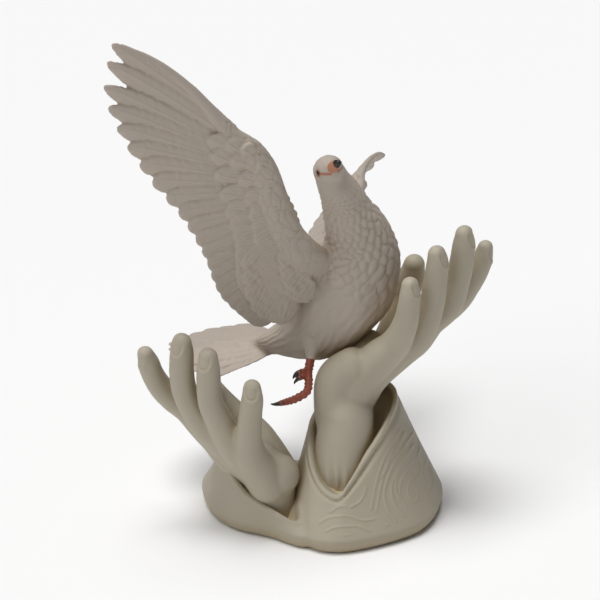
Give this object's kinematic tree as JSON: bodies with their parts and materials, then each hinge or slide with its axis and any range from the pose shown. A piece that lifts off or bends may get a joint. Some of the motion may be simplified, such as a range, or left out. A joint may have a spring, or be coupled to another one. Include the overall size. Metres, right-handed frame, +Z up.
{
  "type": "dove statue",
  "caption": "White bisque statue of a dove taking off from two open hands, with cuffed sleeves that widen into the flat base.",
  "frame": {"origin": "middle of the flat underside of the sleeves, on the surface that the statue stands on", "axes": "X to the right of someone who faces the front, Y away from them, Z up"},
  "size_m": [0.2211, 0.2581, 0.2977],
  "materials": {
    "bird_bisque": "matte white bisque, with painted eye, beak and feet",
    "bisque": "matte off-white bisque"
  },
  "bodies": {
    "root": {"dove": "bird_bisque", "hands_and_sleeves": "bisque"}
  },
  "joints": []
}
